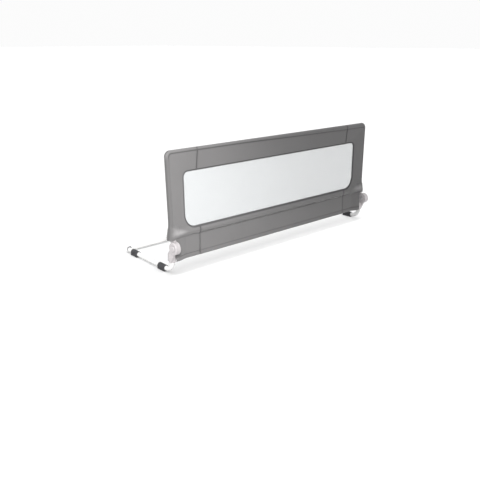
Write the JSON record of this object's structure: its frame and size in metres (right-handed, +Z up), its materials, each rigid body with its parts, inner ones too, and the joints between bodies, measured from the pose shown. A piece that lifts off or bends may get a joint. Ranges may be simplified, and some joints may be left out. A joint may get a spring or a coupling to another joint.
{
  "type": "folding bed guard rail",
  "caption": "Fabric-covered steel-tube guard with a sheer net window that stands along the open side of a bed and folds forwards and down on two locking hinges.",
  "frame": {"origin": "centre of the bounding box's underside, on the surface that the foot pads rest on", "axes": "+X along the guard, to the right as seen from the room; +Y back over the bed, under the mattress; +Z up"},
  "size_m": [1.4008, 0.458, 0.572],
  "materials": {
    "steel_tube": "pale grey powder coat, satin",
    "zinc_steel": "bright zinc plating",
    "hinge_plastic": "white moulded plastic, satin",
    "grey_plastic": "mid grey moulded plastic, satin",
    "pad_rubber": "dark grey non-slip rubber",
    "cover_fabric": "warm mid grey woven polyester",
    "binding_tape": "dark grey woven tape",
    "window_net": "fine, very sheer pale net"
  },
  "bodies": {
    "base": {"base_hinge_right": "hinge_plastic", "base_hinge_left": "hinge_plastic", "pivot_rivet_right": "zinc_steel", "pivot_rivet_left": "zinc_steel", "base_leg_right": "steel_tube", "base_leg_left": "steel_tube", "leg_screw_right": "zinc_steel", "leg_screw_left": "zinc_steel", "rear_corner_right": "grey_plastic", "rear_corner_left": "grey_plastic", "rear_tube_right": "steel_tube", "rear_tube_left": "steel_tube", "rear_connector_screw_right": "zinc_steel", "rear_connector_screw_left": "zinc_steel", "rear_tube_connector": "zinc_steel", "front_bar": "steel_tube", "skirt_lower": "cover_fabric", "side_flap_lower_right": "cover_fabric", "side_flap_lower_left": "cover_fabric", "foot_pad_front_right": "pad_rubber", "foot_pad_front_left": "pad_rubber", "foot_pad_rear_right": "pad_rubber", "foot_pad_rear_left": "pad_rubber"},
    "guard_frame": {"top_tube_right": "steel_tube", "top_tube_left": "steel_tube", "top_tube_screw_right": "zinc_steel", "top_tube_screw_left": "zinc_steel", "corner_elbow_right": "grey_plastic", "corner_elbow_left": "grey_plastic", "side_tube_right": "steel_tube", "side_tube_left": "steel_tube", "side_tube_screw_right": "zinc_steel", "side_tube_screw_left": "zinc_steel", "lower_tube_right": "steel_tube", "lower_tube_left": "steel_tube", "lower_tube_screw_right": "zinc_steel", "lower_tube_screw_left": "zinc_steel", "lower_connector_screw_right": "zinc_steel", "lower_connector_screw_left": "zinc_steel", "frame_hinge_right": "hinge_plastic", "frame_hinge_left": "hinge_plastic", "lock_spring_right": "zinc_steel", "lock_spring_left": "zinc_steel", "cover_side_right": "cover_fabric", "cover_side_left": "cover_fabric", "side_flap_upper_right": "cover_fabric", "side_flap_upper_left": "cover_fabric", "top_tube_connector": "zinc_steel", "lower_tube_connector": "zinc_steel", "cover_top_band": "cover_fabric", "cover_lower_band": "cover_fabric", "window_mesh": "window_net", "window_binding": "binding_tape", "skirt_upper": "cover_fabric"},
    "lock_gear_left": {"lock_gear_left": "grey_plastic"},
    "lock_gear_right": {"lock_gear_right": "grey_plastic"},
    "release_button_left": {"release_button_left": "grey_plastic"},
    "release_button_right": {"release_button_right": "grey_plastic"}
  },
  "joints": [
    {"name": "panel_fold", "type": "hinge", "parent": "base", "child": "guard_frame", "pos_m": [0, -0.2, 0.13], "axis": [1, 0, 0], "range_deg": [0, 175]},
    {"name": "lock_gear_slide_left", "type": "slide", "parent": "guard_frame", "child": "lock_gear_left", "axis": [1, 0, 0], "range_m": [0, 0.004], "stiffness_N_per_m": 600, "springref_m": -0.004, "deforming": ["lock_spring_left"]},
    {"name": "release_button_press_left", "type": "slide", "parent": "base", "child": "release_button_left", "axis": [1, 0, 0], "range_m": [0, 0.004]},
    {"name": "lock_gear_slide_right", "type": "slide", "parent": "guard_frame", "child": "lock_gear_right", "axis": [-1, 0, 0], "range_m": [0, 0.004], "stiffness_N_per_m": 600, "springref_m": -0.004, "deforming": ["lock_spring_right"]},
    {"name": "release_button_press_right", "type": "slide", "parent": "base", "child": "release_button_right", "axis": [-1, 0, 0], "range_m": [0, 0.004]}
  ],
  "couplings": [
    {"joint": "release_button_press_left", "follows": "lock_gear_slide_left", "ratio": 1},
    {"joint": "release_button_press_right", "follows": "lock_gear_slide_right", "ratio": 1}
  ]
}
